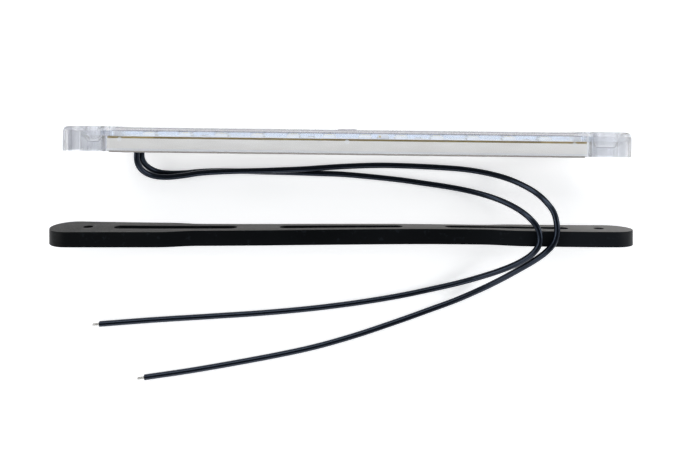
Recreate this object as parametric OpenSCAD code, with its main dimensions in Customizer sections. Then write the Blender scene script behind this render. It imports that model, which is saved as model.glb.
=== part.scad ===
// Slim interior strip light. A clear one-piece lens housing holds twelve LEDs on a board, which is potted
// from the back and closed by a thin seal. Two bare-ended wires leave the back, and a rubber base pad goes
// between the light and the panel that it is screwed to. All sizes are in millimetres.
// The light lies on its long side with its lens towards +Y, and the pad stands on its long edge behind it.

/* [Lens housing] */
// Length of the housing, end to end
housing_l = 238; // [210:1:300]
// Width of the housing
housing_w = 18.4; // [17:0.2:24]
// Height of the end blocks, from the back face
housing_h = 10.4; // [9.6:0.2:14]
// How much lower the lens lies than the end blocks
lens_drop = 0.4; // [0.1:0.1:0.8]
// Length of an end block, up to where its ramp begins
block_l = 18; // [17:0.5:24]
// Length of the ramp from an end block down to the lens
ramp_l = 13; // [6:1:20]
// Radius of the housing's corners, seen from the front
corner_r = 6.3; // [3:0.1:8]
// Radius of the nose at each end, seen from the side
nose_r = 3.5; // [1.5:0.1:5]
// Radius along the front edges of the lens
edge_r = 1; // [0.4:0.1:1.4]
// Slope of the end faces, in degrees
end_slope = 5.5; // [1:0.5:8]
// Thickness of the long side walls
wall_t = 1.5; // [1.2:0.1:2.2]
// Thickness of the lens over the LEDs
lens_t = 1.4; // [0.8:0.1:1.6]
// Thickness of the wall between the board's cavity and an end pocket
partition_t = 1.8; // [1.2:0.1:2.4]
// Distance from the housing's end to that wall's inner face
partition_in = 20; // [19.6:0.2:23]
// Width of the ledge that the board's long edges sit on
ledge_w = 0.6; // [0.3:0.1:1]
// Width of the ledge that the board's ends sit on
ledge_end = 2.4; // [1:0.2:4]
// Diameter of the moulding gate's mark on the lens
gate_d = 7.6; // [4:0.2:10]
// Height of that mark
gate_h = 0.3; // [0.1:0.1:0.4]

/* [End pockets and screw holes] */
// Thickness of the housing's end wall at the pocket
end_wall_t = 2.5; // [1.8:0.1:3.5]
// Thickness of the roof over a pocket
pocket_roof = 2; // [1.4:0.1:3]
// Distance from the housing's end to the middle of the round screw hole
hole_in = 12; // [11:0.1:13]
// Distance from the housing's other end to the middle of the screw slot
slot_in = 10; // [9.6:0.1:11]
// Free travel of a screw in the slot
slot_travel = 4.6; // [2:0.2:5]
// Diameter of the screw hole and width of the slot
screw_d = 4.2; // [3.2:0.1:4.6]
// Diameter of the recess for the screw's head
head_d = 7.3; // [6.6:0.1:8]
// Depth of the straight part of that recess
head_depth = 4; // [2:0.2:4.6]
// Height of the cone below it
sink_h = 2.4; // [1.6:0.1:2.8]
// Thickness of the wall round the head's recess
boss_wall = 1.95; // [1.2:0.05:2.2]
// Width of the web between that wall and the board's cavity
web_w = 6; // [3:0.5:8]

/* [Board and potting] */
// Height of the space for the LEDs, from the board to the inside of the lens
led_space = 2.25; // [2:0.05:3]
// Thickness of the circuit board
board_t = 0.85; // [0.6:0.05:1.2]
// Clearance round the board
board_gap = 0.1; // [0.05:0.05:0.3]
// Diameter of the pegs that hold the board on its ledge
peg_d = 1.9; // [1.2:0.1:2.4]
// How far a peg stands out of the side wall
peg_h = 0.5; // [0.3:0.1:0.8]
// Distance from the cavity's ends to the outer pegs
peg_in = 5; // [3:0.5:12]
// Thickness of the seal on the back
seal_t = 0.7; // [0.4:0.1:1.2]
// Depth of the shallow recess that the seal lies in
seal_recess = 0.35; // [0.1:0.05:0.4]
// How far the seal stays inside the cavity's ends
seal_end = 1; // [0.5:0.5:8]
// How far the seal stays inside the housing's sides
seal_inset = 0.2; // [0.1:0.1:1]

/* [LEDs and small parts] */
// Number of LEDs
led_count = 12; // [6:3:12]
// Distance from the cavity's ends to the middle of the outer LEDs
led_in = 15.95; // [8:0.05:22]
// Side length of an LED
led_w = 5; // [3.5:0.1:5.2]
// Height of an LED
led_h = 1.6; // [1:0.1:1.7]
// Diameter of an LED's light window
window_d = 4; // [2.4:0.1:4.4]
// Number of LEDs that share one resistor
group_size = 3; // [3:3:6]
// Side length of the clear pad over each LED
optic_w = 5.8; // [5.2:0.1:7]
// Gap between an LED and the clear pad over it
optic_gap = 0.15; // [0.05:0.05:0.3]
// Length of a resistor
resistor_l = 3.2; // [2:0.1:4]
// Width of a resistor
resistor_w = 1.6; // [1:0.1:2.4]
// Height of a resistor
resistor_h = 0.6; // [0.4:0.05:1]
// Length of the diode's body
diode_l = 4.4; // [3:0.1:5]
// Width of the diode's body
diode_w = 2.6; // [1.6:0.1:3]
// Height of the diode
diode_h = 1.9; // [1:0.1:2]

/* [Base pad] */
// How far the pad stands out past each end of the light
pad_over_l = 3.8; // [0.6:0.2:8]
// How far the pad's ends stand out past each side of the light
pad_over_w = 0.3; // [0.1:0.1:0.6]
// Width of the pad in the middle
waist_w = 14.3; // [13:0.1:16]
// Thickness of the pad
pad_t = 6.4; // [3:0.2:7.6]
// Half the length of the narrow waist
waist_x = 59; // [40:1:70]
// Length of each curved step from waist to end
step_l = 16; // [8:1:20]
// Number of long slots
slot_count = 3; // [1:1:3]
// Distance from a screw hole's middle to the end of the nearest slot
slot_clear = 11; // [6:0.5:20]
// Width of each long slot
slot_w = 5.8; // [4.4:0.2:7]
// Solid rubber between two slots
slot_bridge = 18; // [10:1:24]

/* [Wires] */
// Outer diameter of a wire
wire_d = 2.5; // [1.6:0.1:2.5]
// Clearance of a wire in the seal
wire_gap = 0.1; // [0.05:0.05:0.3]
// Diameter of the tinned strands
strand_d = 1.2; // [0.8:0.1:1.4]
// Bare length of the tinned strands
strand_l = 3.2; // [2:0.1:8]
// Distance from the cavity's end to where the first wire leaves
wire_in = 10.3; // [6:0.1:20]
// How much further in the second wire leaves
wire_step = 1.3; // [1.3:0.1:3]
// Sideways place of the wires, one on each side of the light's middle line
wire_side = 1.2; // [1.2:0.05:1.5]

/* [Hidden] */
$fn = 96;
// How far a cutting shape runs past what it cuts
over = 1;

// Layout: the light's middle and its back face, its turn in degrees, and the pad's back face
light_x = 2.5;
light_y = 13.2;
light_turn = -0.7;
pad_y = -25;

// Small details of the mouldings and the board's parts
pocket_r = 1.5;
gate_flare = 1;
chamfer = 0.3;
corner_cut = 0.6;
window_depth = 0.15;
lead_t = 0.2;
lead_w = 0.9;
lead_pitch = led_w / 3;
cap_l = 0.45;

lens_h = housing_h - lens_drop;
roof_h = lens_h - lens_t;
board_front = roof_h - led_space;
board_back = board_front - board_t;
cavity_l = housing_l - 2 * partition_in;
cavity_w = housing_w - 2 * wall_t;
optic_drop = led_space - led_h - optic_gap;
boss_r = head_d / 2 + boss_wall;
head_bottom = housing_h - head_depth;
cone_bottom = head_bottom - sink_h;
pocket_in = housing_l / 2 - partition_in + partition_t;
pocket_out = housing_l / 2 - end_wall_t;
hole_x = housing_l / 2 - hole_in;
slot_x = housing_l / 2 - slot_in;
peg_x = cavity_l / 2 - peg_in;
seal_l = cavity_l - 2 * seal_end;
seal_w = housing_w - 2 * seal_inset;
led_pitch = (cavity_l - 2 * led_in) / (led_count - 1);
pad_l = housing_l + 2 * pad_over_l;
pad_w = housing_w + 2 * pad_over_w;
slot_l = (2 * (hole_x - slot_clear) - (slot_count - 1) * slot_bridge) / slot_count;
wire_1_x = wire_in - cavity_l / 2;
wire_2_x = wire_1_x + wire_step;

LEDS = [for (i = [1:led_count]) str("led_", i)];
RESISTORS = [for (i = [1:led_count / group_size]) str("resistor_", i)];

// A point of the light's own frame (length, width, height) where the light lies
function light_point(p) = [
    light_x + p.x * cos(light_turn) - p.z * sin(light_turn),
    light_y + p.x * sin(light_turn) + p.z * cos(light_turn),
    housing_w / 2 - p.y
];
seal_face = [sin(light_turn), -cos(light_turn), 0];

// The wires lie on the surface, and each rises over the pad in a long low hump. A step holds how far a
// point is from the wire's exit along X and Y, and how far it is lifted off the surface. The lifts are
// those over a pad of this width.
drawn_pad_w = 19;
function laid(exit, steps) = concat([exit], [for (q = steps)
    [exit.x + q.x, exit.y + q.y, wire_d / 2 + q.z * pad_w / drawn_pad_w]]);
wire_1_steps = [
    [0, -1.2, 9.15], [-0.1, -3.7, 8.95], [0.4, -6.5, 8.15], [2, -9.1, 6.7], [5.4, -11.2, 4.7], [10.7, -12, 3.05],
    [17.7, -11.4, 2.75], [25.2, -10.3, 2.75], [33.7, -9.7, 2.75], [42.7, -9.4, 2.75],
    [52.2, -9.2, 2.75], [61.2, -8.9, 2.55], [69.2, -8.6, 2.1], [77.7, -8.1, 1], [86.7, -7.6, 0.15],
    [105.2, -7.1, 0], [135.7, -8.5, 0], [144.2, -9.5, 0.5], [151.2, -10.8, 2],
    [157.7, -12.6, 4.75], [163.2, -15, 8.25], [167.7, -17.8, 12], [170.7, -20.9, 15.75],
    [173.2, -24.8, 18.3], [174.2, -29.1, 19.4], [174.3, -33.4, 19.6], [173.1, -37.4, 19.55],
    [170.2, -41.2, 18.65], [165.7, -45.5, 15.85], [160.2, -50.2, 11.5], [153.2, -55.6, 6.75],
    [145.2, -60.6, 3.25], [135.2, -65.6, 1], [123.2, -70.3, 0], [107.2, -76, 0], [90.2, -81.6, 0],
    [70.2, -87, 0], [24.7, -95.6, 0], [0.7, -99.2, 0]
];
wire_2_steps = [
    [0, -1.2, 6.73], [0, -3.4, 6.25], [0.7, -5.9, 4.9], [2.5, -8.1, 2.95], [5.6, -9.8, 1.15], [10.3, -10.5, 0.25],
    [16.9, -10.4, 0], [23.4, -9.8, 0], [32.4, -9.5, 0], [40.9, -9.6, 0], [50.4, -9.9, 0],
    [62.4, -10.2, 0], [74.4, -10.6, 0], [85.4, -11, 0], [109.4, -13.3, 0],
    [120.9, -14.9, 0], [130.4, -16.3, 0.25], [137.9, -17.6, 1.25], [144.4, -19, 3.5],
    [150.4, -20.7, 6.75], [155.4, -22.7, 10.75], [159.4, -25, 14.75], [162.5, -27.7, 17.95],
    [164.9, -30.8, 19.3], [166, -34.3, 19.55], [165.8, -37.9, 19.5], [163.4, -41.9, 18.55],
    [158.7, -46.2, 15.25], [152.4, -50.3, 10.5], [144.4, -54.3, 5.5], [135.9, -57.6, 2],
    [124.9, -60.6, 0.25], [110.4, -63.7, 0], [92.9, -66.6, 0], [73.4, -69.1, 0], [51.9, -71.1, 0],
    [27.9, -72.7, 0], [3.9, -74.2, 0], [-20.1, -76, 0]
];
wire_1_route = laid(light_point([wire_1_x, -wire_side, seal_recess]), wire_1_steps);
wire_2_route = laid(light_point([wire_2_x, wire_side, seal_recess]), wire_2_steps);

// The light is drawn with its length along X and its lens upwards, and then laid on its long side
module lay_light()
    translate([light_x, light_y, housing_w / 2])
        rotate([0, 0, light_turn]) rotate([-90, 0, 0]) children();

// The pad is drawn flat on its back, and then stood on its long edge
module stand_pad()
    translate([0, pad_y, pad_w / 2]) rotate([-90, 0, 0]) children();

// A block that is centred in length and width and starts at a height
module block(l, w, low, high)
    translate([-l / 2, -w / 2, low]) cube([l, w, high - low]);

// Everything within a radius of a line of the slot's travel, with one radius below and one above
module stadium(r_low, r_high, h, travel) {
    for (x = [-travel / 2, travel / 2])
        translate([x, 0, 0]) cylinder(r1 = r_low, r2 = r_high, h = h);
    if (travel > 0)
        rotate([90, 0, 90]) linear_extrude(travel, center = true)
            polygon([[-r_low, 0], [r_low, 0], [r_high, h], [-r_high, h]]);
}

// Points of a smooth S that rises from [x, low] over a length l
function rise(x, l, low, high) =
    [for (t = [0:10:180]) [x + l * t / 180, low + (high - low) * (1 - cos(t)) / 2]];

// The same points the other way round, each reflected by the signs in k
function back(p, k) = [for (i = [len(p) - 1:-1:0]) [p[i].x * k.x, p[i].y * k.y]];

// Section across the housing's front edges, for a given full width
module front_section(w) {
    translate([-w / 2, 0]) square([w, housing_h - edge_r]);
    translate([-w / 2 + edge_r, 0]) square([w - 2 * edge_r, housing_h]);
    for (s = [-1, 1]) translate([s * (w / 2 - edge_r), housing_h - edge_r]) circle(edge_r);
}

// Plate with round corners and a rounded front edge all the way round
module rounded_plate() {
    rotate([90, 0, 90])
        linear_extrude(housing_l - 2 * corner_r, center = true) front_section(housing_w);
    rotate([90, 0, 0])
        linear_extrude(housing_w - 2 * corner_r, center = true) front_section(housing_l);
    for (x = [-1, 1], y = [-1, 1])
        translate([x * (housing_l / 2 - corner_r), y * (housing_w / 2 - corner_r), 0])
            rotate_extrude() intersection() {
                front_section(2 * corner_r);
                square([corner_r, housing_h]);
            }
}

// Side view: sloping ends, round noses, and a lens that is a little lower than the end blocks
module side_view() {
    nose_z = housing_h - nose_r;
    nose_x = housing_l / 2 - (nose_r + nose_z * sin(end_slope)) / cos(end_slope);
    touch = [nose_x + nose_r * cos(end_slope), nose_z + nose_r * sin(end_slope)];
    top = concat(
        rise(housing_l / 2 - block_l - ramp_l, ramp_l, lens_h, housing_h),
        [[housing_l / 2, housing_h], [housing_l / 2, 0]]
    );
    intersection() {
        union() {
            polygon([
                [-housing_l / 2, 0], [housing_l / 2, 0], touch, [nose_x, housing_h],
                [-nose_x, housing_h], [-touch.x, touch.y]
            ]);
            for (s = [-1, 1]) translate([s * nose_x, nose_z]) circle(nose_r);
        }
        polygon(back(concat(top, back(top, [-1, 1])), [1, 1]));
    }
}

module housing_outside()
    intersection() {
        rounded_plate();
        rotate([90, 0, 0]) linear_extrude(housing_w + over, center = true) side_view();
    }

// One place for each LED along the board
function led_x(i) = (i - (led_count + 1) / 2) * led_pitch;

// The pegs under the board's long edges
module pegs(d, h)
    for (x = [-peg_x, 0, peg_x], s = [-1, 1])
        translate([x, s * (cavity_w / 2 - h / 2), board_back])
            rotate([90, 0, 0]) cylinder(d = d, h = h, center = true);

// The cavity: a wide part for board and potting, a narrower one for the LEDs, and the seal's recess
module cavity() {
    difference() {
        block(cavity_l, cavity_w, -over, board_front);
        pegs(peg_d, peg_h);
    }
    difference() {
        block(cavity_l - 2 * ledge_end, cavity_w - 2 * ledge_w, board_front, roof_h);
        for (i = [1:led_count]) translate([led_x(i), 0, 0])
            block(optic_w, optic_w, roof_h - optic_drop, roof_h + over);
    }
    block(seal_l, housing_w + over, -over, seal_recess);
}

// A pocket in the back of an end block, round the boss for the screw
module pocket(boss_x, travel) {
    w = cavity_w / 2 - pocket_r;
    difference() {
        translate([0, 0, -over]) linear_extrude(housing_h - pocket_roof + over) union() {
            translate([pocket_in, -w]) square([pocket_out - pocket_in, 2 * w]);
            translate([pocket_in + pocket_r, -w - pocket_r])
                square([pocket_out - pocket_in - 2 * pocket_r, 2 * (w + pocket_r)]);
            for (x = [pocket_in + pocket_r, pocket_out - pocket_r], y = [-w, w])
                translate([x, y]) circle(pocket_r);
        }
        translate([boss_x, 0, -2 * over]) stadium(boss_r, boss_r, housing_h + 2 * over, travel);
        translate([pocket_in - over, -web_w / 2, -2 * over])
            cube([boss_x - pocket_in + over, web_w, housing_h + 2 * over]);
    }
}

// The hole for a countersunk screw: bore, cone and straight recess for the head
module screw_way(travel) {
    translate([0, 0, -over]) stadium(screw_d / 2, screw_d / 2, cone_bottom + 2 * over, travel);
    translate([0, 0, cone_bottom]) stadium(screw_d / 2, head_d / 2, sink_h, travel);
    translate([0, 0, head_bottom]) stadium(head_d / 2, head_d / 2, head_depth + over, travel);
}

// The clear moulding, which is lens and housing in one
module lens_housing()
    color([0.84, 0.88, 0.93, 0.45]) lay_light() {
        difference() {
            housing_outside();
            cavity();
            mirror([1, 0, 0]) pocket(hole_x, 0);
            pocket(slot_x, slot_travel);
            translate([-hole_x, 0, 0]) screw_way(0);
            translate([slot_x, 0, 0]) screw_way(slot_travel);
        }
        translate([0, 0, lens_h - chamfer])
            cylinder(d1 = gate_d + 2 * gate_flare, d2 = gate_d, h = gate_h + chamfer);
    }

// The board sits against the ledge, with a notch at each peg
module circuit_board()
    color([0.62, 0.55, 0.4]) lay_light() difference() {
        block(cavity_l - 2 * board_gap, cavity_w - 2 * board_gap, board_back, board_front);
        for (x = [-peg_x, 0, peg_x], s = [-1, 1]) translate([x, s * cavity_w / 2, 0])
            block(peg_d + 2 * board_gap, 2 * (peg_h + board_gap), board_back - over, board_front + over);
    }

// A square LED: white body with a marked corner, a round light window and three leads on each side
module led(i) {
    far = led_w / 2 + over;
    near = led_w / 2 - corner_cut - over;
    color([0.93, 0.94, 0.9]) lay_light() translate([led_x(i), 0, 0]) {
        difference() {
            block(led_w, led_w, board_front, board_front + led_h);
            translate([0, 0, board_front + led_h - window_depth]) cylinder(d = window_d, h = over);
            translate([0, 0, board_front + led_h / 2]) linear_extrude(led_h)
                polygon([[near, far], [far, near], [far, far]]);
        }
        for (y = [-lead_pitch, 0, lead_pitch]) translate([0, y, 0])
            block(led_w + 2 * lead_t, lead_w, board_front, board_front + led_h / 2);
    }
}

// A chip resistor with its two metal ends
module resistor(i)
    color([0.16, 0.16, 0.17]) lay_light()
        translate([led_x(i * group_size - 1) + led_pitch / 2, 0, 0]) {
            block(resistor_l, resistor_w - lead_t, board_front, board_front + resistor_h);
            for (s = [-1, 1]) translate([s * (resistor_l - cap_l) / 2, 0, 0])
                block(cap_l, resistor_w, board_front, board_front + resistor_h);
        }

// The diode that guards against crossed wires, with its folded leads
module diode()
    color([0.14, 0.14, 0.15]) lay_light()
        translate([led_x(led_count / 2 + 1) + led_pitch / 2, 0, 0]) {
            block(diode_l, diode_w, board_front + lead_t, board_front + diode_h);
            block(diode_l + 2 * lead_t, diode_w / 2, board_front, board_front + diode_h / 2);
        }

// White potting from the seal up to the board
module potting()
    color([0.88, 0.88, 0.87]) lay_light() difference() {
        block(cavity_l, cavity_w, seal_recess, board_back);
        pegs(peg_d, peg_h);
    }

// The thin seal on the back, with a hole for each wire
module back_seal()
    color([0.6, 0.58, 0.55]) lay_light() difference() {
        block(seal_l, seal_w, seal_recess - seal_t, seal_recess);
        for (p = [[wire_1_x, -wire_side], [wire_2_x, wire_side]])
            translate([p.x, p.y, seal_recess - seal_t - over])
                cylinder(d = wire_d + 2 * wire_gap, h = seal_t + 2 * over);
    }

// Outline of the pad: two wide round ends, curved steps and a narrow waist
module pad_outline() {
    round_x = (pad_l - pad_w) / 2;
    edge = concat(rise(waist_x, step_l, waist_w / 2, pad_w / 2), [[round_x, pad_w / 2]]);
    polygon(back(concat(edge, back(edge, [1, -1]), -edge, back(edge, [-1, 1])), [1, 1]));
    for (x = [-round_x, round_x]) translate([x, 0]) circle(d = pad_w);
}

// A round-ended slot through the pad
module pad_slot() {
    square([slot_l - slot_w, slot_w], center = true);
    for (s = [-1, 1]) translate([s * (slot_l - slot_w) / 2, 0]) circle(d = slot_w);
}

// The rubber pad, with long slots to save rubber and the same two screw places as the light
module base_pad()
    color([0.09, 0.09, 0.1]) stand_pad() difference() {
        linear_extrude(pad_t) difference() {
            pad_outline();
            for (i = [0:slot_count - 1])
                translate([(i - (slot_count - 1) / 2) * (slot_l + slot_bridge), 0]) pad_slot();
        }
        for (x = [-hole_x, slot_x]) translate([x, 0, -over]) cylinder(d = screw_d, h = pad_t + 2 * over);
    }

function unit(v) = v / norm(v);

// Direction of a route at point i: out of the seal at the first, then halfway between its two pieces there
function heading(p, i) =
    i == 0 ? seal_face :
    i == len(p) - 1 ? unit(p[i] - p[i - 1]) :
    unit(unit(p[i + 1] - p[i]) + unit(p[i] - p[i - 1]));

// Points round a route's point, at right angles to its direction
wire_sides = 8;
function ring(p, i) =
    let (t = heading(p, i), side = unit(cross(t, [0, 0, 1])), up = cross(side, t))
    [for (k = [0:wire_sides - 1]) let (a = 360 * k / wire_sides)
        p[i] + wire_d / 2 * (cos(a) * side + sin(a) * up)];

// A wire as one closed tube along its route
module tube(p) {
    n = len(p);
    points = [for (i = [0:n - 1]) each ring(p, i)];
    m = wire_sides;
    sides = [for (i = [0:n - 2], k = [0:m - 1]) let (a = m * i + k, b = m * i + (k + 1) % m)
        each [[a, b, a + m], [b, b + m, a + m]]];
    caps = [[for (k = [m - 1:-1:0]) k], [for (k = [0:m - 1]) m * (n - 1) + k]];
    polyhedron(points = points, faces = concat(sides, caps));
}

// The bare strands that stick out of a wire's end
module strands(p) {
    end = p[len(p) - 1];
    way = end - p[len(p) - 2];
    translate(end) rotate([0, 0, atan2(way.y, way.x)]) rotate([0, 90, 0]) {
        cylinder(d = strand_d, h = strand_l - chamfer);
        translate([0, 0, strand_l - chamfer]) cylinder(d1 = strand_d, d2 = strand_d - chamfer, h = chamfer);
    }
}

module wire_1() color([0.09, 0.09, 0.1]) tube(wire_1_route);
module wire_2() color([0.09, 0.09, 0.1]) tube(wire_2_route);
module wire_1_strands() color([0.75, 0.75, 0.74]) strands(wire_1_route);
module wire_2_strands() color([0.75, 0.75, 0.74]) strands(wire_2_route);

lens_housing();
circuit_board();
diode();
potting();
back_seal();
base_pad();
wire_1();
wire_2();
wire_1_strands();
wire_2_strands();
for (i = [1:len(LEDS)]) led(i);
for (i = [1:len(RESISTORS)]) resistor(i);
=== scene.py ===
import math

import bmesh
import bpy
import numpy as np
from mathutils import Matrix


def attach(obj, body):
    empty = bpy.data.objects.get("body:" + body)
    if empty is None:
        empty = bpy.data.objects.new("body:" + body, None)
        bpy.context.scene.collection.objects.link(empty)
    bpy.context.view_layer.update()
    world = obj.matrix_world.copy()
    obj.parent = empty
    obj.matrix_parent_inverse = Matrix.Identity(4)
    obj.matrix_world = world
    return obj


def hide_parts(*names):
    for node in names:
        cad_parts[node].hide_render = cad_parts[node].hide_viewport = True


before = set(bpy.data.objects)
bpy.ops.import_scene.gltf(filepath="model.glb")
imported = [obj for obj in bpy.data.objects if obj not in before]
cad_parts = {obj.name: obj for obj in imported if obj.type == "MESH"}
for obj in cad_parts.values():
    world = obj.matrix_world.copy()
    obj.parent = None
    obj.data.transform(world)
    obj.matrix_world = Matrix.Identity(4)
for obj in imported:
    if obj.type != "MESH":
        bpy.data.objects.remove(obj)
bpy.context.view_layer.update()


# The studio: a wide pale sheet to lay the light on, a white room that is dim overhead and bright lower down,
# and large soft lamps. The camera looks straight down on the sheet, as the photograph does, with its lens
# shifted so that the light lies high in the picture.
SHEET_SIZE = 6.0
CAMERA_AT = (0.00375, 0.0294, 0.3184)
FOCAL_LENGTH = 37.54
LENS_SHIFT = -0.1693
SHEET_TONE = (0.93, 0.93, 0.935)
SHEET_GLOW_TONE = (0.98, 0.99, 1.0)
SHEET_GLOW = 0.55
ROOM_TONE = (0.95, 0.975, 1.0)
ROOM_HEIGHTS = (0.95, 0.5)
ROOM_STRENGTH = (0.05, 0.7)
SOFTBOXES = [
    ("far_softbox", (-0.3, 1.25, 0.9), (1.9, 0.6), 9.0),
    ("near_softbox", (-0.2, -1.4, 1.0), (1.1, 1.1), 5.0),
    ("left_softbox", (-1.5, 0.0, 0.9), (0.9, 0.9), 5.0),
    ("right_softbox", (1.5, 0.2, 0.9), (0.9, 0.9), 5.0),
]


class Signal:
    """What comes out of a shader node. Arithmetic on it adds Math nodes to the same finish."""

    def __init__(self, finish, socket):
        self.finish = finish
        self.socket = socket

    def math(self, operation, *others):
        return self.finish.node("ShaderNodeMath", {"operation": operation}, dict(enumerate((self, *others))))

    def __add__(self, other):
        return self.math("ADD", other)

    __radd__ = __add__

    def __mul__(self, other):
        return self.math("MULTIPLY", other)

    __rmul__ = __mul__

    def __sub__(self, other):
        return self.math("SUBTRACT", other)

    def __rsub__(self, other):
        return self.finish.node("ShaderNodeMath", {"operation": "SUBTRACT"}, {0: other, 1: self})

    def __truediv__(self, other):
        return self.math("DIVIDE", other)

    def __gt__(self, other):
        return self.math("GREATER_THAN", other)

    def __lt__(self, other):
        return self.math("LESS_THAN", other)

    def __abs__(self):
        return self.math("ABSOLUTE")

    def axes(self):
        """The three parts of a vector signal."""
        split = self.finish.node("ShaderNodeSeparateXYZ", {}, {0: self}).socket.node
        return [Signal(self.finish, s) for s in split.outputs]


class Finish:
    """A surface finish: a principled shader with fixed values, and nodes added one call at a time."""

    def __init__(self, name, **values):
        self.material = bpy.data.materials.new(name)
        self.material.use_nodes = True
        self.tree = self.material.node_tree
        self.shader = self.tree.nodes["Principled BSDF"]
        self.feed(self.shader, {key.replace("_", " "): value for key, value in values.items()})

    def feed(self, node, inputs):
        """Sets or links the inputs of a node, by name or by number."""
        for key, value in inputs.items():
            socket = node.inputs[key]
            if isinstance(value, Signal):
                self.tree.links.new(value.socket, socket)
            elif isinstance(value, tuple) and len(value) == 3 and socket.type == "RGBA":
                socket.default_value = (*value, 1.0)
            else:
                socket.default_value = value

    def node(self, kind, settings, inputs, out=0):
        """Adds one node: its settings first, a ramp's stops among them, and then its inputs."""
        node = self.tree.nodes.new(kind)
        for key, value in settings.items():
            if key == "stops":
                ramp = node.color_ramp
                while len(ramp.elements) < len(value):
                    ramp.elements.new(1.0)
                for element, (place, colour) in zip(ramp.elements, value):
                    element.position = place
                    element.color = (*colour, 1.0)
            else:
                setattr(node, key, value)
        self.feed(node, inputs)
        return Signal(self, node.outputs[out])

    def place(self, middle=(0.0, 0.0, 0.0), turn=0.0):
        """A point on the piece, from a middle point and turned about the upright axis, in metres."""
        here = self.node("ShaderNodeTexCoord", {}, {}, "Object")
        return self.node("ShaderNodeMapping", {"vector_type": "TEXTURE"},
                         {"Vector": here, "Location": middle, "Rotation": (0.0, 0.0, turn)})

    def noise(self, place, scale, detail=2.0, roughness=0.5, stretch=None):
        """A soft random field from 0 to 1, with its scale in waves to a metre and an optional stretch."""
        if stretch is not None:
            place = self.node("ShaderNodeVectorMath", {"operation": "MULTIPLY"}, {0: place, 1: stretch})
        return self.node("ShaderNodeTexNoise", {}, {"Vector": place, "Scale": scale, "Detail": detail,
                                                    "Roughness": roughness}, "Fac")

    def blend(self, factor, first, second):
        """A colour that goes from the first to the second."""
        node = self.node("ShaderNodeMix", {"data_type": "RGBA"}, {0: factor}, 2).socket.node
        self.feed(node, {6: first, 7: second})
        return Signal(self, node.outputs[2])

    def ramp(self, factor, *stops):
        """A colour read off a row of stops."""
        return self.node("ShaderNodeValToRGB", {"stops": stops}, {0: factor})

    def bump(self, height, depth):
        """Relief of a given depth in metres."""
        relief = self.node("ShaderNodeBump", {}, {"Height": height, "Distance": depth})
        self.feed(self.shader, {"Normal": relief})


sheet = bpy.data.objects.new("studio_sheet", bpy.data.meshes.new("studio_sheet"))
corners = SHEET_SIZE / 2 * np.array([[-1, -1, 0], [1, -1, 0], [1, 1, 0], [-1, 1, 0]], float)
sheet.data.from_pydata(corners.tolist(), [], [(0, 1, 2, 3)])
bpy.context.collection.objects.link(sheet)
pale = Finish("pale_sheet", Base_Color=SHEET_TONE, Roughness=0.9, Specular_IOR_Level=0.1,
              Emission_Color=SHEET_GLOW_TONE, Emission_Strength=SHEET_GLOW)
sheet.data.materials.append(pale.material)

room = bpy.data.worlds.new("white_room")
room.use_nodes = True
nodes, links = room.node_tree.nodes, room.node_tree.links
way = nodes.new("ShaderNodeTexCoord").outputs["Generated"]
height = nodes.new("ShaderNodeSeparateXYZ")
links.new(way, height.inputs[0])
dimmer = nodes.new("ShaderNodeMapRange")
links.new(height.outputs["Z"], dimmer.inputs["Value"])
dimmer.inputs["From Min"].default_value, dimmer.inputs["From Max"].default_value = ROOM_HEIGHTS
dimmer.inputs["To Min"].default_value, dimmer.inputs["To Max"].default_value = ROOM_STRENGTH
nodes["Background"].inputs["Color"].default_value = (*ROOM_TONE, 1.0)
links.new(dimmer.outputs["Result"], nodes["Background"].inputs["Strength"])
bpy.context.scene.world = room

for name, at, size, power in SOFTBOXES:
    lamp = bpy.data.lights.new(name, "AREA")
    lamp.shape = "ELLIPSE"
    lamp.size, lamp.size_y = size
    lamp.energy = power
    holder = bpy.data.objects.new(name, lamp)
    holder.location = at
    holder.rotation_mode = "QUATERNION"
    holder.rotation_quaternion = (-holder.location).to_track_quat("-Z", "Y")
    bpy.context.collection.objects.link(holder)

camera = bpy.data.objects.new("camera", bpy.data.cameras.new("camera"))
camera.data.lens = FOCAL_LENGTH
camera.data.shift_y = LENS_SHIFT
camera.data.clip_start = 0.01
camera.location = CAMERA_AT
bpy.context.collection.objects.link(camera)
bpy.context.scene.camera = camera
bpy.context.scene.view_settings.view_transform = "Standard"


# The two wires: limp stranded cores in a smooth black plastic cover, 2.5 mm thick. They are cast into the
# back of the light and leave it through the seal, one beside the other, then lie on the sheet, cross over
# each other and hump over the base pad. Each ends in a few millimetres of tinned strands.
WIRE_WIDTH = 0.0025
WIRE_SIDES = 20
RINGS_TO_A_STEP = 10
STRAND_LENGTH = 0.0032
STRAND_INSIDE = 0.0008
STRAND_SHARES = (1.0, 0.93, 0.98, 0.9, 0.96, 0.92, 0.99)
STRAND_RADIUS = 0.0002
STRAND_SIDES = 8
STRAND_RINGS = 28
STRAND_LAY = 0.009
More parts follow.
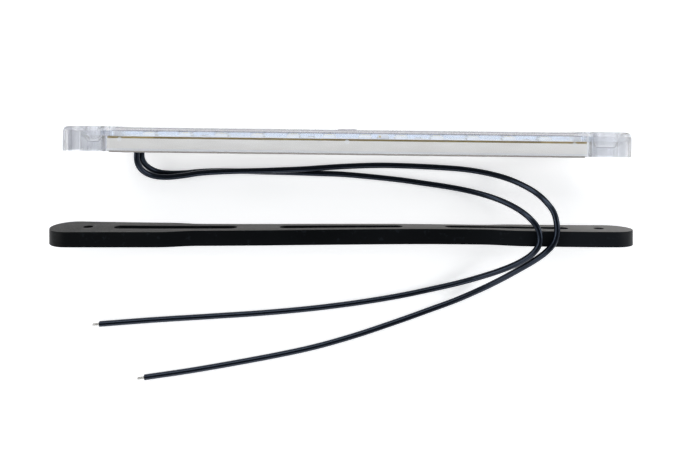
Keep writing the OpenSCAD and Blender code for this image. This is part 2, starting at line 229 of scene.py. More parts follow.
# The points that each wire follows from the seal to its bare end, in millimetres.
WIRE_ROUTES = {
    "wire_1": [
        (-86.19, 14.63, 10.4), (-86.19, 13.43, 10.4), (-86.29, 10.93, 10.2), (-85.79, 8.13, 9.4),
        (-84.19, 5.53, 7.95), (-80.79, 3.43, 5.95), (-75.49, 2.63, 4.3), (-68.49, 3.23, 4),
        (-60.99, 4.33, 4), (-52.49, 4.93, 4), (-43.49, 5.23, 4), (-33.99, 5.43, 4), (-24.99, 5.73, 3.8),
        (-16.99, 6.03, 3.35), (-8.49, 6.53, 2.25), (0.51, 7.03, 1.4), (19.01, 7.53, 1.25),
        (49.51, 6.13, 1.25), (58.01, 5.13, 1.75), (65.01, 3.83, 3.25), (71.51, 2.03, 6),
        (77.01, -0.37, 9.5), (81.51, -3.17, 13.25), (84.51, -6.27, 17), (87.01, -10.17, 19.55),
        (88.01, -14.47, 20.65), (88.11, -18.77, 20.85), (86.91, -22.77, 20.8), (84.01, -26.57, 19.9),
        (79.51, -30.87, 17.1), (74.01, -35.57, 12.75), (67.01, -40.97, 8), (59.01, -45.97, 4.5),
        (49.01, -50.97, 2.25), (37.01, -55.67, 1.25), (21.01, -61.37, 1.25), (4.01, -66.97, 1.25),
        (-15.99, -72.37, 1.25), (-61.49, -80.97, 1.25), (-85.49, -84.57, 1.25),
    ],
    "wire_2": [
        (-84.89, 14.62, 8), (-84.89, 13.42, 7.98), (-84.89, 11.22, 7.5), (-84.19, 8.72, 6.15),
        (-82.39, 6.52, 4.2), (-79.29, 4.82, 2.4), (-74.59, 4.12, 1.5), (-67.99, 4.22, 1.25),
        (-61.49, 4.82, 1.25), (-52.49, 5.12, 1.25), (-43.99, 5.02, 1.25), (-34.49, 4.72, 1.25),
        (-22.49, 4.42, 1.25), (-10.49, 4.02, 1.25), (0.51, 3.62, 1.25), (24.51, 1.32, 1.25),
        (36.01, -0.28, 1.25), (45.51, -1.68, 1.5), (53.01, -2.98, 2.5), (59.51, -4.38, 4.75),
        (65.51, -6.08, 8), (70.51, -8.08, 12), (74.51, -10.38, 16), (77.61, -13.08, 19.2),
        (80.01, -16.18, 20.55), (81.11, -19.68, 20.8), (80.91, -23.28, 20.75), (78.51, -27.28, 19.8),
        (73.81, -31.58, 16.5), (67.51, -35.68, 11.75), (59.51, -39.68, 6.75), (51.01, -42.98, 3.25),
        (40.01, -45.98, 1.5), (25.51, -49.08, 1.25), (8.01, -51.98, 1.25), (-11.49, -54.48, 1.25),
        (-32.99, -56.48, 1.25), (-56.99, -58.08, 1.25), (-80.99, -59.58, 1.25), (-104.99, -61.38, 1.25),
    ],
}


def smooth_line(points, steps):
    """A centripetal Catmull-Rom line through the points: between two of them it blends the straight lines
    through their neighbours, weighted by the square roots of the distances."""
    p = np.asarray(points, float)
    p = np.vstack([2 * p[0] - p[1], p, 2 * p[-1] - p[-2]])
    gap = np.sqrt(np.linalg.norm(np.diff(p, axis=0), axis=1))
    t = np.concatenate([[0.0], np.cumsum(gap)])
    a, b, c, d = (p[i:len(p) - 3 + i, None] for i in range(4))
    ta, tb, tc, td = (t[i:len(t) - 3 + i, None, None] for i in range(4))
    x = tb + (tc - tb) * np.linspace(0, 1, steps, endpoint=False)[None, :, None]

    def mix(low, high, first, second):
        return ((high - x) * first + (x - low) * second) / (high - low)

    ab, bc, cd = mix(ta, tb, a, b), mix(tb, tc, b, c), mix(tc, td, c, d)
    line = mix(tb, tc, mix(ta, tc, ab, bc), mix(tb, td, bc, cd))
    return np.vstack([line.reshape(-1, 3), p[-2]])


def directions(line):
    """Unit directions along a line, from the points on either side of each."""
    way = np.gradient(line, axis=0)
    return way / np.linalg.norm(way, axis=1)[:, None]


def round_bar(line, radii, sides):
    """A round skin along a line: at each point a ring of the given radius, at right angles to the line, and
    a middle point over each end."""
    way = directions(line)
    side = np.cross(way, [0.0, 0.0, 1.0])
    side /= np.linalg.norm(side, axis=1)[:, None]
    up = np.cross(side, way)
    angle = np.linspace(0, 2 * math.pi, sides, endpoint=False)[None, :, None]
    ring = np.cos(angle) * side[:, None] + np.sin(angle) * up[:, None]
    skin = line[:, None] + ring * np.broadcast_to(radii, len(line))[:, None, None]
    return np.vstack([skin.reshape(-1, 3), line[:1], line[-1:]])


def bar_faces(rings, sides):
    """Four-sided faces between neighbouring rings, and a fan of three-sided faces over each end."""
    i, k = np.meshgrid(np.arange(rings - 1), np.arange(sides), indexing="ij")
    n = (k + 1) % sides
    skin = np.stack([i * sides + k, (i + 1) * sides + k, (i + 1) * sides + n, i * sides + n], -1)
    k = np.arange(sides)
    n, first, last = (k + 1) % sides, rings * sides, (rings - 1) * sides
    start = np.stack([np.full(sides, first), k, n], -1)
    end = np.stack([np.full(sides, first + 1), last + n, last + k], -1)
    return skin.reshape(-1, 4).tolist() + start.tolist() + end.tolist()


def add_piece(name, points, faces, finish, sharp=35.0):
    """Puts a piece's mesh into the scene, smooth up to an angle between faces, and rides it on the body."""
    mesh = bpy.data.meshes.new(name)
    mesh.from_pydata(np.asarray(points).tolist(), [], faces)
    mesh.validate()
    mesh.shade_smooth()
    mesh.set_sharp_from_angle(angle=math.radians(sharp))
    mesh.materials.append(finish.material)
    piece = bpy.data.objects.new(name, mesh)
    bpy.context.collection.objects.link(piece)
    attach(piece, "root")
    return piece


cover = Finish("black_wire_cover", Specular_IOR_Level=0.5, Specular_Tint=(0.58, 0.72, 1.0))
here = cover.place()
marks = cover.noise(here, 900.0, 3.0)
cover.feed(cover.shader, {
    "Base Color": cover.ramp(marks, (0.3, (0.0012, 0.0016, 0.0025)), (0.75, (0.004, 0.0055, 0.0095))),
    "Roughness": 0.13 + 0.1 * marks,
})
cover.bump(cover.noise(here, 420.0, 2.0), 0.00003)

tinned = Finish("tinned_strands", Metallic=1.0)
grain = tinned.noise(tinned.place(), 2600.0, 2.0)
tinned.feed(tinned.shader, {
    "Base Color": tinned.ramp(grain, (0.3, (0.42, 0.41, 0.39)), (0.7, (0.78, 0.77, 0.74))),
    "Roughness": 0.26 + 0.2 * grain,
})

for name, route in WIRE_ROUTES.items():
    line = smooth_line(np.array(route) / 1000, RINGS_TO_A_STEP)
    line[:, 2] = np.maximum(line[:, 2], WIRE_WIDTH / 2)
    wire = add_piece(name + "_cover", round_bar(line, WIRE_WIDTH / 2, WIRE_SIDES),
                     bar_faces(len(line), WIRE_SIDES), cover, sharp=50.0)
    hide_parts(name)
    end = line[-1]
    way = directions(line)[-1]
    side = np.cross(way, [0.0, 0.0, 1.0])
    up = np.cross(side, way)
    points = []
    faces = []
    middle_one = len(STRAND_SHARES) - 1
    for k, share in enumerate(STRAND_SHARES):
        run = np.linspace(-STRAND_INSIDE, STRAND_LENGTH * share, STRAND_RINGS)
        turn = 2 * math.pi * (k / middle_one + run / STRAND_LAY)
        off = 0.0 if k == middle_one else 2 * STRAND_RADIUS
        core = end + run[:, None] * way + off * (np.cos(turn)[:, None] * side + np.sin(turn)[:, None] * up)
        first = k * (STRAND_RINGS * STRAND_SIDES + 2)
        faces += [[v + first for v in face] for face in bar_faces(STRAND_RINGS, STRAND_SIDES)]
        points.append(round_bar(core, STRAND_RADIUS, STRAND_SIDES))
    strands = add_piece(name + "_tinned_strands", np.vstack(points), faces, tinned, sharp=50.0)
    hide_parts(name + "_strands")


# The potting: white resin, cast into the back of the housing over the board. It wets the clear walls, so it
# shows through them as if it were painted on, and its back dips a little between them.
LAMP_MIDDLE = (0.0025, 0.0132, 0.0092)
LAMP_TURN = math.radians(-0.7)
POTTING_HALF = (0.09902, 0.00772)
POTTING_LEVELS = (0.00035, 0.00549)
POTTING_DIP = 0.00012
POTTING_STATIONS = 60
POTTING_ACROSS = 41
THIN_RIM_TO = 0.0013
PEG_STEP = 0.094
PEG_HEIGHT = 0.0051
PEG_RADIUS = 0.00095
PEG_FROM = 0.0065
PEG_SHOWS = 0.7


def on_lamp(place):
    """From a place along, across and up from the back of the light to where it lies on the sheet: turned a
    little about the upright axis, with its across axis pointing down."""
    x, y, z = np.moveaxis(np.asarray(place, float), -1, 0)
    c, s = math.cos(LAMP_TURN), math.sin(LAMP_TURN)
    return np.stack([LAMP_MIDDLE[0] + x * c - z * s, LAMP_MIDDLE[1] + x * s + z * c, LAMP_MIDDLE[2] - y], -1)


def lofted(rings):
    """Points and faces of a closed form that goes through a row of rings, with a fan over each end."""
    ends = rings[[0, -1]].mean(axis=1)
    return np.vstack([rings.reshape(-1, 3), ends]), bar_faces(*rings.shape[:2])


def lamp_place(finish):
    """A point in the light's own frame: along it, up from its back, and across it."""
    return finish.place(LAMP_MIDDLE, LAMP_TURN)


def peg_spot(x, y, z):
    """Where a round clear peg of the housing's side wall shows: at the light's middle and near its ends."""
    off = x - PEG_STEP * (x / PEG_STEP).math("ROUND")
    up = y - PEG_HEIGHT
    return ((off * off + up * up).math("SQRT") < PEG_RADIUS) * (abs(z) > PEG_FROM) * PEG_SHOWS


across = np.linspace(-1, 1, POTTING_ACROSS)
dip = POTTING_DIP * (1 - across ** 8)
low = np.stack([across[::-1] * POTTING_HALF[1], POTTING_LEVELS[0] + dip], -1)
high = np.stack([across * POTTING_HALF[1], np.full_like(across, POTTING_LEVELS[1])], -1)
section = np.vstack([low, high])
along = POTTING_HALF[0] * np.linspace(-1, 1, POTTING_STATIONS)
rings = np.concatenate([np.broadcast_to(along[:, None, None], (len(along), len(section), 1)),
                        np.broadcast_to(section, (len(along), len(section), 2))], -1)
resin = Finish("white_resin", Coat_Weight=0.15, Coat_Roughness=0.2)
here = lamp_place(resin)
clouds = resin.noise(here, 90.0, 3.0, stretch=(0.5, 2.0, 2.0))
specks = resin.noise(here, 2600.0, 2.0)
x, y, z = here.axes()
tone = resin.ramp(clouds + 1.1 * x, (0.3, (0.79, 0.785, 0.77)), (0.72, (0.86, 0.86, 0.85)))
tone = resin.blend((y < THIN_RIM_TO) * 0.5, tone, (0.78, 0.83, 0.9))
specked = resin.blend((specks > 0.74) * 0.3, tone, (0.58, 0.57, 0.55))
resin.feed(resin.shader, {
    "Base Color": resin.blend(peg_spot(x, y, z), specked, (0.86, 0.87, 0.89)),
    "Roughness": 0.36 + 0.14 * clouds,
})
resin.bump(clouds, 0.0002)
potting = add_piece("cast_potting", *lofted(on_lamp(rings)), resin)
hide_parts("potting")


# The seal: a thin grey-brown layer of sealant, spread over the back with a knife. Its long edges are ragged
# where it ran out to the housing's sides, and the two wires come out through it.
SEAL_HALF = (0.098, 0.00895)
SEAL_LEVELS = (-0.00034, 0.00037)
SEAL_STATIONS = 480
SEAL_AROUND = 48
SEAL_WANDER = 0.00022
SEAL_SWELL = 0.16


def ragged(x, seed, fine):
    """A wandering edge: a sum of sine waves of growing pitch and shrinking height, each with its own
    start."""
    turns = np.array([37, 91, 173, 311, 587, 941, 1583]) * fine
    start = np.random.default_rng(seed).uniform(0, 2 * math.pi, len(turns))
    height = 1 / np.sqrt(np.arange(1, len(turns) + 1))
    return (np.sin(x[:, None] * turns + start) * height).sum(-1) / height.sum()


# Its section is the cosine and the sine of one turn, each raised to a power that squares it off. The edges
# wander in and out along the light, each in its own way, and the outside swells and thins.
along = SEAL_HALF[0] * np.linspace(-1, 1, SEAL_STATIONS)
angle = np.linspace(2 * math.pi, 0, SEAL_AROUND, endpoint=False)
bulge = np.abs(np.cos(angle)) ** 0.12 * np.sign(np.cos(angle))
lift = np.abs(np.sin(angle)) ** 0.5 * np.sign(np.sin(angle))
one_edge = ragged(along, 3, 9.0)[:, None]
other_edge = ragged(along, 8, 9.0)[:, None]
reach = SEAL_HALF[1] + SEAL_WANDER * np.where(np.cos(angle) > 0, one_edge, other_edge)
middle = (SEAL_LEVELS[0] + SEAL_LEVELS[1]) / 2
half = (SEAL_LEVELS[1] - SEAL_LEVELS[0]) / 2
swell = 1 + SEAL_SWELL * ragged(along, 5, 14.0)[:, None] * (lift < 0)
rings = np.stack([np.broadcast_to(along[:, None], reach.shape), bulge * reach,
                  middle + half * lift * swell], -1)
sealant = Finish("grey_brown_sealant")
here = lamp_place(sealant)
grit = sealant.noise(here, 3200.0, 3.0, 0.65)
patches = sealant.noise(here, 420.0, 2.0)
gritty = sealant.ramp(grit, (0.25, (0.16, 0.145, 0.13)), (0.75, (0.4, 0.375, 0.35)))
sealant.feed(sealant.shader, {
    "Base Color": sealant.blend(patches, gritty, (0.36, 0.34, 0.32)),
    "Roughness": 0.6 + 0.3 * grit,
})
sealant.bump(grit + patches, 0.0001)
seal = add_piece("back_sealant", *lofted(on_lamp(rings)), sealant, sharp=60.0)
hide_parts("back_seal")


# The circuit board: glass-fibre sheet with a yellow-brown sawn edge, held on the housing's ledge by its
# pegs. Its front is coated white, and the copper tracks under the coating show as three duller stripes.
BOARD_FRONT = 0.00635
COATING_DEPTH = 0.00004
OUTER_TRACK_AT = 0.0042
OUTER_TRACK_HALF = 0.0011
MIDDLE_TRACK_HALF = 0.0006
PALER_EDGE_FROM = 0.08
glass_fibre = Finish("coated_board")
here = lamp_place(glass_fibre)
x, y, z = here.axes()
layers = glass_fibre.noise(here, 700.0, 2.0, stretch=(0.4, 14.0, 1.0))
paler = 0.25 * (abs(x) > PALER_EDGE_FROM)
sawn = glass_fibre.ramp(layers + paler, (0.3, (0.15, 0.115, 0.04)), (0.8, (0.38, 0.3, 0.13)))
sawn = glass_fibre.blend(peg_spot(x, y, z), sawn, (0.78, 0.8, 0.83))
track = (abs(abs(z) - OUTER_TRACK_AT) < OUTER_TRACK_HALF) + (abs(z) < MIDDLE_TRACK_HALF)
coat = glass_fibre.blend(track * 0.5, (0.84, 0.88, 0.94), (0.76, 0.8, 0.86))
front = y > BOARD_FRONT - COATING_DEPTH
glass_fibre.feed(glass_fibre.shader, {
    "Base Color": glass_fibre.blend(front, sawn, coat),
    "Roughness": 0.7 - 0.4 * front,
})
glass_fibre.bump(layers, 0.00003)


def refinish(node, finish):
    """Gives a carried-over solid its finish."""
    solid = bpy.data.objects[node]
    solid.data.materials.clear()
    solid.data.materials.append(finish.material)


refinish("circuit_board", glass_fibre)


# The LEDs: twelve square white packages, 5 mm on a side, each with a round window of yellow phosphor in a
# shallow cup and three tinned leads on each side, soldered to the board.
LED_STEP = 0.0151
LED_HALF = 0.0025
LED_TOP = BOARD_FRONT + 0.0016
WINDOW_RADIUS = 0.002
WINDOW_DEPTH = 0.0003
RIM_RADIUS = 0.00205
RIM_HALF = 0.00012
RIM_DEPTH = 0.0001
# Where a painted shade lies along the top of each package, near both of its ends.
PAINTED_SHADE_FROM, PAINTED_SHADE_TO = 0.0021, 0.0026
PAINTED_SHADE_DEPTH = 0.00035
LEAD_FROM = LED_HALF + 0.00002
package = Finish("white_led_package")
here = lamp_place(package)
x, y, z = here.axes()
aside = x - LED_STEP * ((x / LED_STEP + 0.5).math("ROUND") - 0.5)
out = (aside * aside + z * z).math("SQRT")
window = (out < WINDOW_RADIUS) * (y > LED_TOP - WINDOW_DEPTH)
rim = (abs(out - RIM_RADIUS) < RIM_HALF) * (y > LED_TOP - RIM_DEPTH)
lead = abs(aside) > LEAD_FROM
soft = package.noise(here, 1500.0, 2.0)
streaks = package.noise(here, 500.0, 2.0, stretch=(0.5, 12.0, 1.0))
white = package.ramp(streaks, (0.35, (0.82, 0.89, 0.97)), (0.6, (0.95, 0.96, 0.98)))
# A painted shade darkens a band along the top of each package at both of its ends.
shade = (abs(aside) > PAINTED_SHADE_FROM) * (y > LED_TOP - PAINTED_SHADE_DEPTH) * (abs(aside) < PAINTED_SHADE_TO)
white = package.blend(shade * 0.6, white, (0.4, 0.42, 0.5))
body = package.blend(rim, white, (0.55, 0.56, 0.56))
phosphor = package.ramp(out / WINDOW_RADIUS, (0.0, (0.78, 0.6, 0.12)), (0.9, (0.86, 0.74, 0.3)))
body = package.blend(window, body, phosphor)
package.feed(package.shader, {
    "Base Color": package.blend(lead, body, (0.72, 0.72, 0.7)),
    "Metallic": lead,
    "Roughness": 0.42 - 0.3 * window - 0.1 * lead,
    "Coat Weight": window,
})
package.bump(soft, 0.00002)
for number in range(1, 13):
    refinish("led_%d" % number, package)


# The resistors: a pale ceramic chip for each three LEDs, with a black glazed top and a tinned cap over each
# end. They are soldered to the board midway between two LEDs.
CAP_FROM = 0.00115
GLAZE_FROM = BOARD_FRONT + 0.00055
chip = Finish("chip_resistor")
here = lamp_place(chip)
x, y, z = here.axes()
cap = abs(x - LED_STEP * (x / LED_STEP).math("ROUND")) > CAP_FROM
ceramic = chip.blend(y > GLAZE_FROM, (0.84, 0.87, 0.91), (0.02, 0.02, 0.024))
chip.feed(chip.shader, {
    "Base Color": chip.blend(cap, ceramic, (0.82, 0.84, 0.87)),
    "Metallic": 0.3 * cap,
    "Roughness": 0.42 - 0.14 * cap,
})
chip.bump(chip.noise(here, 2400.0, 2.0), 0.00002)
for number in range(1, 5):
    refinish("resistor_%d" % number, chip)


# The diode: a pale moulded block with a small ochre mark near one end, and a lead folded under each end. It
# keeps the light whole if its wires are crossed.
MARK_FROM, MARK_TO = -0.0018, -0.0009
MARK_HEIGHT = BOARD_FRONT + 0.0009
MARK_HALF_HEIGHT = 0.0004
DIODE_LEAD_FROM = 0.00222
moulded = Finish("moulded_diode")
here = lamp_place(moulded)
x, y, z = here.axes()
aside = x - LED_STEP * (x / LED_STEP).math("ROUND")
mark = (aside > MARK_FROM) * (aside < MARK_TO) * (abs(y - MARK_HEIGHT) < MARK_HALF_HEIGHT)
end = abs(aside) > DIODE_LEAD_FROM
grain = moulded.noise(here, 2200.0, 3.0)
block = moulded.ramp(grain, (0.3, (0.76, 0.8, 0.86)), (0.7, (0.84, 0.87, 0.92)))
moulded.feed(moulded.shader, {
    "Base Color": moulded.blend(end, moulded.blend(mark, block, (0.62, 0.55, 0.36)), (0.56, 0.57, 0.6)),
    "Metallic": end,
    "Roughness": 0.5 - 0.2 * end,
})
moulded.bump(grain, 0.00003)
refinish("diode", moulded)


# The lens housing: lens, side walls and screw blocks in one injection moulding of clear, slightly blue
# plastic, polished in the mould, with faint flow marks. Its sides are clear where the potting wets them.
# Elsewhere a painted shade greys them, darkens them where they are seen edge-on and lines the lens's rims,
# and painted lines show where the screw recesses lie.
LENS_INSIDE = 0.0086
LENS_FRONT = 0.01
LENS_RIM = 0.0005
LINE_HALF = 0.0002
WINDOW_HALF = 0.099
LEDGE_HALF = 0.0966
LEDGE_LINE_HALF = 0.0004
FAR_HALF = 0.102
CORNER_FROM = 0.1165
SKIN_FROM = 0.0088
EDGE_FROM = 0.0078
SCREW_MIDDLE = 0.001
SCREW_SPACING = 0.216
BOSS_HALF = 0.006
GATE_HALF = 0.01
GATE_FROM, GATE_TO = 0.00002, 0.00026
RECESS_AT = 0.1053
RECESS_HALF = 0.0034
RECESS_FLAT_HALF = 0.0021
RECESS_BOTTOM = 0.0044
RECESS_SLOPE = 1.4
SLOT_HALF_TRAVEL = 0.0015
# Where the painted highlight line and the painted shade line of each screw recess lie.
HIGHLIGHT_ABOVE, HIGHLIGHT_HALF = 0.0002, 0.00028
SHADE_LINE_BELOW, SHADE_LINE_HALF = 0.0003, 0.00022
clear = Finish("clear_moulding", IOR=1.45, Transmission_Weight=1.0)
here = lamp_place(clear)
x, y, z = here.axes()
flow = clear.noise(here, 260.0, 2.0, stretch=(0.3, 1.0, 1.0))
shaded = clear.node("ShaderNodeLightPath", {}, {}, "Is Shadow Ray")
grazing = clear.node("ShaderNodeLayerWeight", {}, {"Blend": 0.3}, "Facing")
streaks = clear.noise(here, 1500.0, 2.0, stretch=(1.0, 0.02, 0.02))
# Where the surface is seen edge-on its colour turns dark: painted dark outlines on the clear plastic.
tint_and_painted_shade = clear.blend(grazing, (0.94, 0.945, 0.96), (0.2, 0.2, 0.23))
skin = abs(z) > SKIN_FROM
front_edge = abs(z) > EDGE_FROM
# The long walls are clear along the hollow that holds the board. Elsewhere a painted shade greys them,
# darker at the left end than at the right and paler over the screw bosses, and they are streaked where the
# plastic flowed.
window = (abs(x) < WINDOW_HALF) - (abs(x) > LEDGE_HALF) * (y > BOARD_FRONT)
painted_wall_shade = clear.ramp(x + 0.5, (0.38, (0.2, 0.21, 0.25)), (0.62, (0.42, 0.44, 0.48)))
boss = abs(abs(x - SCREW_MIDDLE) - SCREW_SPACING / 2) < BOSS_HALF
painted_wall_shade = clear.blend(boss * 0.6, painted_wall_shade, (0.8, 0.82, 0.85))
streak = clear.ramp(streaks, (0.45, (0.0, 0.0, 0.0)), (0.62, (0.3, 0.3, 0.3)))
painted_wall_shade = clear.blend(streak, painted_wall_shade, (0.12, 0.12, 0.14))
outside = skin + front_edge * (y > LENS_INSIDE) + (abs(x) > CORNER_FROM)
tint_and_painted_shade = clear.blend(outside * (1.0 - window), tint_and_painted_shade, painted_wall_shade)
# Between the board and the lens the far wall gets a painted blue shade, and the ends of the lens's hollow
# are frosted.
painted_far_shade = (z < -SKIN_FROM) * (y > BOARD_FRONT) * (y < LENS_INSIDE) * (abs(x) < FAR_HALF)
end_face = (abs(abs(x) - LEDGE_HALF) < LEDGE_LINE_HALF) * (abs(z) < EDGE_FROM + LINE_HALF)
end_face = end_face * (y > BOARD_FRONT)
tint_and_painted_shade = clear.blend(painted_far_shade, tint_and_painted_shade, (0.29, 0.38, 0.52))
# A painted shade greys the lens along its edges, and painted dark lines run on its rims and round the mark
# of the mould's gate.
painted_edge_shade = front_edge * (y > LENS_INSIDE - LINE_HALF) * (abs(x) < WINDOW_HALF)
tint_and_painted_shade = clear.blend(painted_edge_shade, tint_and_painted_shade, (0.34, 0.33, 0.345))
painted_lens_lines = front_edge * (y > LENS_FRONT - LENS_RIM) + (abs(y - LENS_INSIDE) < LINE_HALF) * skin
gate_rim = (y > LENS_FRONT + GATE_FROM) * (y < LENS_FRONT + GATE_TO) * (abs(x) < GATE_HALF)
painted_lens_lines = painted_lens_lines * (abs(x) < LEDGE_HALF) + gate_rim
# Each screw recess is painted on the near wall: a painted highlight line over a painted shade line, flat at
# its bottom and sloping up to both sides, a little nearer the middle than the recess itself. The right one
# is drawn out to a slot.
past = abs(abs(x - SCREW_MIDDLE) - RECESS_AT) - SLOT_HALF_TRAVEL * (x > 0)
recess = RECESS_BOTTOM + (past - RECESS_FLAT_HALF).math("MAXIMUM", 0.0) * RECESS_SLOPE
beside = (past < RECESS_HALF) * (z > SKIN_FROM)
painted_highlight_line = (abs(y - recess - HIGHLIGHT_ABOVE) < HIGHLIGHT_HALF) * beside
painted_shade_line = (abs(y - recess + SHADE_LINE_BELOW) < SHADE_LINE_HALF) * beside
tint_and_painted_shade = clear.blend(painted_shade_line, tint_and_painted_shade, (0.12, 0.12, 0.15))
tint_and_painted_shade = clear.blend(painted_highlight_line, tint_and_painted_shade, (1.0, 1.0, 1.0))
clear.feed(clear.shader, {
    "Base Color": clear.blend(painted_lens_lines, tint_and_painted_shade, (0.2, 0.19, 0.2)),
    "Roughness": 0.02 + 0.04 * flow + 0.3 * end_face,
    "Alpha": 0.75 - 0.7 * shaded,
})
clear.bump(flow, 0.00004)
refinish("lens_housing", clear)


# The base pad: a strip of black rubber under the light, moulded with round ends, a narrow waist, three long
# slots and two screw holes. It is limp, so here its middle bows towards the light and its left end leans
# away from it. Its edges are rounded, with a painted highlight along the mating face's edge. Its mating face
# is matt and dusty under a painted sheen that grows towards the right end, and its sides are darker and
# turn lighter towards the right end.
PAD_BACK = -0.025
PAD_FACE = -0.0186
PAD_MIDDLE = 0.0095
PAD_END = 0.1228
PAD_HALF_WIDTH = 0.0095
WAIST_HALF_WIDTH = 0.00715
WAIST_END = 0.059
WAIST_STEP = 0.016
PAD_STEP = 0.002
ARC_PLACES = 12
EDGE_ROUND = 0.0002
EDGE_PLACES = 5
THROUGH = 2 * EDGE_PLACES
AROUND = 2 * THROUGH
# Each hole's middle, its reach to either side along the pad, and its half width.
PAD_HOLES = [(-0.107, 0.0021, 0.0021), (-0.07, 0.026, 0.0029), (0.0, 0.026, 0.0029),
             (0.07, 0.026, 0.0029), (0.109, 0.0021, 0.0021)]
# Places along the pad, and how many millimetres its upper and its lower edge lean there.
UPPER_LEAN = [(-0.123, 0.0), (-0.08, 0.0), (-0.041, 0.15), (0.004, 0.75), (0.045, 1.05), (0.1, 0.0),
              (0.123, 0.0)]
LOWER_LEAN = [(-0.123, 1.9), (-0.088, 1.15), (-0.045, 0.95), (0.03, 0.95), (0.055, 0.55), (0.1, 0.0),
              (0.123, 0.0)]
LEAN_BLUR = 0.02


def spaced(start, end, round_start, round_end):
    """Places from start to end: even steps, and over the round stretch at each end places at even angles of
    its quarter circle."""
    quarter = 1 - np.cos(np.linspace(0, math.pi / 2, ARC_PLACES + 1))[:-1]
    many = max(int((end - start - round_start - round_end) / PAD_STEP), 1)
    even = np.linspace(start + round_start, end - round_end, many + 1)
    return np.concatenate([(start + round_start * quarter)[:ARC_PLACES if round_start else 0], even,
                           (end - round_end * quarter[::-1])[:ARC_PLACES if round_end else 0]])


def pad_half_width(x):
    """Half the pad's width: a half circle at each end, and half a cosine wave down to the waist."""
    step = np.clip((np.abs(x) - WAIST_END) / WAIST_STEP, 0, 1)
    waist = WAIST_HALF_WIDTH + (PAD_HALF_WIDTH - WAIST_HALF_WIDTH) * (1 - np.cos(math.pi * step)) / 2
    return np.minimum(waist, slot_half_width(x, 0.0, PAD_END, PAD_HALF_WIDTH))


def slot_half_width(x, middle, reach, half):
    """Half the width of a slot with round ends, or of a round hole: a half circle past each centre."""
    past = np.maximum(np.abs(x - middle) - (reach - half), 0)
    return np.sqrt(np.maximum(half ** 2 - past ** 2, 0)) * (past < half - 1e-9)


def square_to(x, width):
    """Unit directions away from the middle line, square to a line of half widths: across the chord from the
    place before to the place after. They lie along the pad where the width is 0."""
    way = np.stack([-np.gradient(width), np.gradient(x) * (width > 0)], -1)
    return way / np.linalg.norm(way, axis=1)[:, None]


def lean(x, table):
    """How far the pad leans at a place along it: the table's millimetres joined by straight lines, and
    averaged over 20 mm to either side."""
    at, out = np.transpose(table)
    return np.interp(x[..., None] + np.linspace(-LEAN_BLUR, LEAN_BLUR, 21), at, out).mean(-1) / 1000


# Through the pad's thickness each wall has a quarter circle of places at the face and one at the back.
across = np.radians(np.concatenate([np.linspace(90, 0, EDGE_PLACES), np.linspace(0, -90, EDGE_PLACES)]))
inset = EDGE_ROUND * (1 - np.cos(across))[None, :, None]
round_middle = np.where(np.arange(THROUGH) < EDGE_PLACES, PAD_FACE - EDGE_ROUND, PAD_BACK + EDGE_ROUND)
level = round_middle + EDGE_ROUND * np.sin(across)
# Along the pad, solid stretches and holes follow each other. At a hole the inner wall is the hole's wall,
# and in a solid stretch it lies on the middle line and gets no faces.
places = []
inner = []
hole_number = []
reached = -PAD_END
for number, hole in enumerate([*PAD_HOLES, None]):
    until = PAD_END if hole is None else hole[0] - hole[1]
    gap = spaced(reached, until, PAD_HALF_WIDTH * (number == 0), PAD_HALF_WIDTH * (hole is None))
    gap = gap[min(number, 1):len(gap) - (hole is not None)]
    core = np.clip(gap, reached + EDGE_ROUND, until - EDGE_ROUND)
    places.append(gap)
    inner.append(np.broadcast_to(np.stack([core, 0 * core], -1)[:, None], (len(gap), THROUGH, 2)))
    hole_number += [-1] * len(gap)
    if hole is not None:
        middle, reach, half = hole
        reached = middle + reach
        # A round hole keeps a sliver of even steps between its quarter circles, so that no two places fall
        # together.
        round_stretch = min(half, reach * 0.999)
        x = spaced(middle - reach, reached, round_stretch, round_stretch)
        width = slot_half_width(x, *hole)
        places.append(x)
        inner.append(np.stack([x, width], -1)[:, None] + inset * square_to(x, width)[:, None])
        hole_number += [number] * len(x)
x = np.concatenate(places)
width = pad_half_width(x)
outer = np.stack([x, width], -1)[:, None] - inset * square_to(x, width)[:, None]
ring = np.concatenate([outer, np.concatenate(inner)[:, ::-1]], axis=1)
levels = np.broadcast_to(np.concatenate([level, level[::-1]]), ring.shape[:2])
halves = [np.stack([ring[..., 0], levels, PAD_MIDDLE + side * ring[..., 1]], -1) for side in (1, -1)]
points = np.concatenate(halves).reshape(-1, 3)
upper = points[:, 2] / (2 * PAD_MIDDLE)
points[:, 1] += lean(points[:, 0], UPPER_LEAN) * upper + lean(points[:, 0], LOWER_LEAN) * (1 - upper)
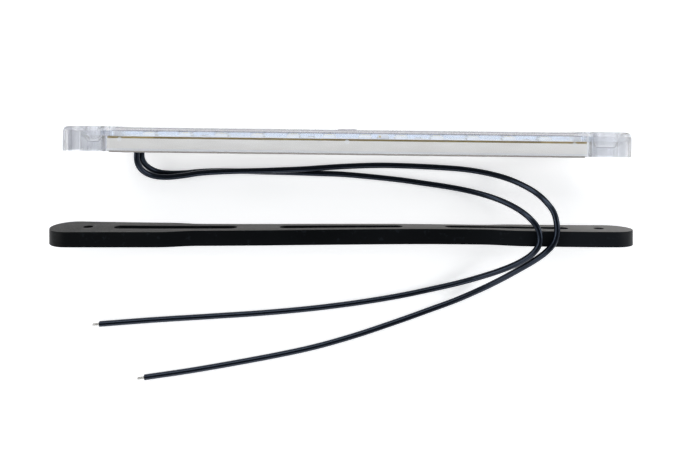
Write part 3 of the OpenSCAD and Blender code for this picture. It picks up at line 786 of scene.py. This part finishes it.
# Four-sided faces join each ring to the next. The pad's other half is the mirror image of the first, so its
# faces run the other way round.
i, k = np.meshgrid(np.arange(len(x) - 1), np.arange(AROUND), indexing="ij")
number = np.array(hole_number)
solid = (number[i] < 0) | (number[i] != number[i + 1])
kept = ~(solid & (k >= THROUGH) & (k < AROUND - 1))
i, k = i[kept], k[kept]
n = (k + 1) % AROUND
quads = np.stack([i * AROUND + k, i * AROUND + n, (i + 1) * AROUND + n, (i + 1) * AROUND + k], -1)
quads = np.concatenate([quads, quads[:, ::-1] + AROUND * len(x)])

rubber = Finish("black_rubber", Specular_IOR_Level=0.1)
here = rubber.place()
x, y, z = here.axes()
facing = rubber.node("ShaderNodeAttribute", {"attribute_name": "facing"}, {}, "Fac")
face = abs(facing) > 0.9
# A painted highlight runs along the rounded edge next to the mating face.
rim = (facing > 0.8) * (facing < 0.97)
dust = rubber.noise(here, 1800.0, 3.0)
shade = rubber.noise(here, 60.0, 2.0, stretch=(0.4, 1.0, 1.0))
scuffs = rubber.noise(here, 300.0, 4.0, 0.7, stretch=(1.0, 1.0, 0.25))
side = rubber.ramp(shade, (0.3, (0.0012, 0.0016, 0.0021)), (0.75, (0.003, 0.0038, 0.0048)))
# The sides turn lighter towards the right end.
lighter_right = rubber.ramp(x + 0.5, (0.55, (0.0, 0.0, 0.0)), (0.6, (0.7, 0.7, 0.7)))
side = rubber.blend(lighter_right, side, (0.0095, 0.0115, 0.0145))
side = rubber.blend((scuffs > 0.62) * 0.5, side, (0.012, 0.015, 0.019))
# The mating face's colour is dust together with a painted sheen, lighter towards the right end.
dust_and_painted_sheen = dust * 0.4 + shade * 0.3 + 1.4 * x
matt_face_and_painted_sheen = rubber.ramp(dust_and_painted_sheen, (0.1, (0.022, 0.022, 0.022)), (0.5, (0.155, 0.15, 0.144)))
rubber.feed(rubber.shader, {
    "Base Color": rubber.blend(rim, rubber.blend(face, side, matt_face_and_painted_sheen), (0.12, 0.12, 0.12)),
    "Roughness": 0.36 + 0.2 * dust + 0.16 * face,
})
rubber.bump(dust, 0.00003)
pad = add_piece("rubber_pad", points, quads.tolist(), rubber)
facing = pad.data.attributes.new("facing", "FLOAT", "POINT")
around = np.sin(np.concatenate([across, across[::-1]]))
facing.data.foreach_set("value", np.tile(around, 2 * len(width)).astype(np.float32))
weld = bmesh.new()
weld.from_mesh(pad.data)
bmesh.ops.remove_doubles(weld, verts=weld.verts, dist=1e-6)
weld.to_mesh(pad.data)
weld.free()
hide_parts("base_pad")
